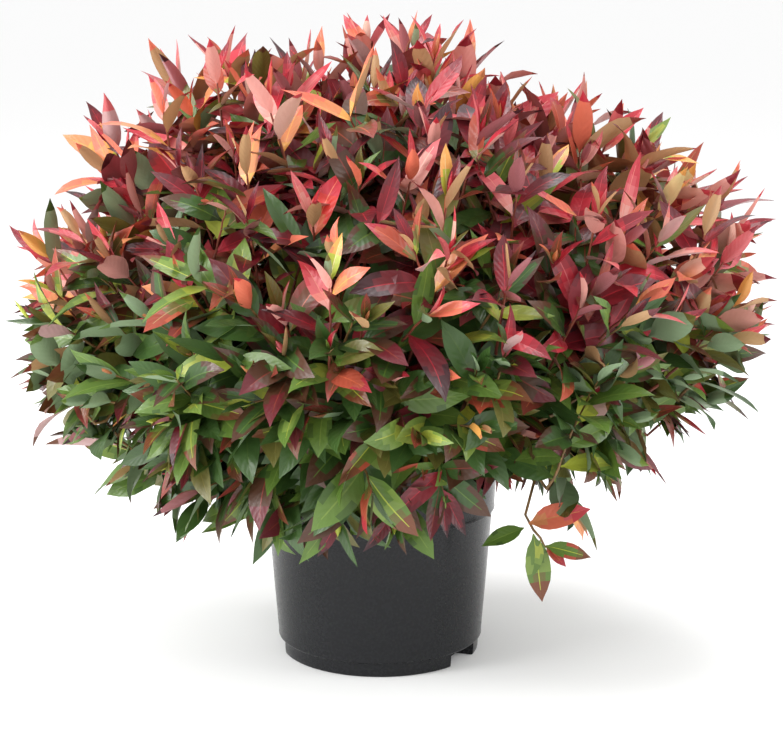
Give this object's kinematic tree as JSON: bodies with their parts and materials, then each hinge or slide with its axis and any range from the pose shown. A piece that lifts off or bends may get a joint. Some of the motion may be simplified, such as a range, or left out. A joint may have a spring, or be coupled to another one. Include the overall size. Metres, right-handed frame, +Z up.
{
  "type": "potted coast leucothoe shrub",
  "caption": "Low evergreen shrub in a round nursery pot: arching stems and a dense rounded crown of narrow pointed leaves, crimson at the shoot tips, green below.",
  "frame": {"origin": "centre of the pot's flat underside, on the surface that the pot stands on", "axes": "+Z up along the pot's axis, +X to the right in the picture, +Y away from the camera"},
  "size_m": [0.7684, 0.6712, 0.6466],
  "materials": {
    "pot_plastic": "satin",
    "compost": "matte",
    "stem_bark": "matte",
    "young_bark": "satin",
    "foliage_red": "satin",
    "foliage_bronze": "satin",
    "foliage_green": "satin"
  },
  "bodies": {
    "root": {"pot": "pot_plastic", "compost": "compost", "stem_right": "stem_bark", "stem_back_right": "stem_bark", "stem_back_left": "stem_bark", "stem_left": "stem_bark", "stem_front_left": "stem_bark", "stem_front_right": "stem_bark", "bough_top": "young_bark", "bough_right": "young_bark", "bough_back_right": "young_bark", "bough_back": "young_bark", "bough_back_left": "young_bark", "bough_left": "young_bark", "bough_front_left": "young_bark", "bough_front": "young_bark", "bough_front_right": "young_bark", "bough_low_right": "young_bark", "bough_low_back_right": "young_bark", "bough_low_back": "young_bark", "bough_low_back_left": "young_bark", "bough_low_left": "young_bark", "bough_low_front": "young_bark", "bough_sprig": "young_bark", "foliage_top": "foliage_red", "foliage_upper_right": "foliage_red", "foliage_upper_back_right": "foliage_red", "foliage_upper_back_left": "foliage_red", "foliage_upper_left": "foliage_red", "foliage_upper_front_left": "foliage_red", "foliage_upper_front_right": "foliage_red", "foliage_right": "foliage_bronze", "foliage_back_right": "foliage_bronze", "foliage_back": "foliage_bronze", "foliage_back_left": "foliage_bronze", "foliage_left": "foliage_bronze", "foliage_front_left": "foliage_bronze", "foliage_front": "foliage_bronze", "foliage_front_right": "foliage_bronze", "foliage_low_right": "foliage_green", "foliage_low_back_right": "foliage_green", "foliage_low_back": "foliage_green", "foliage_low_back_left": "foliage_green", "foliage_low_left": "foliage_green", "foliage_low_front": "foliage_green", "foliage_hanging_sprig": "foliage_green"}
  },
  "joints": []
}
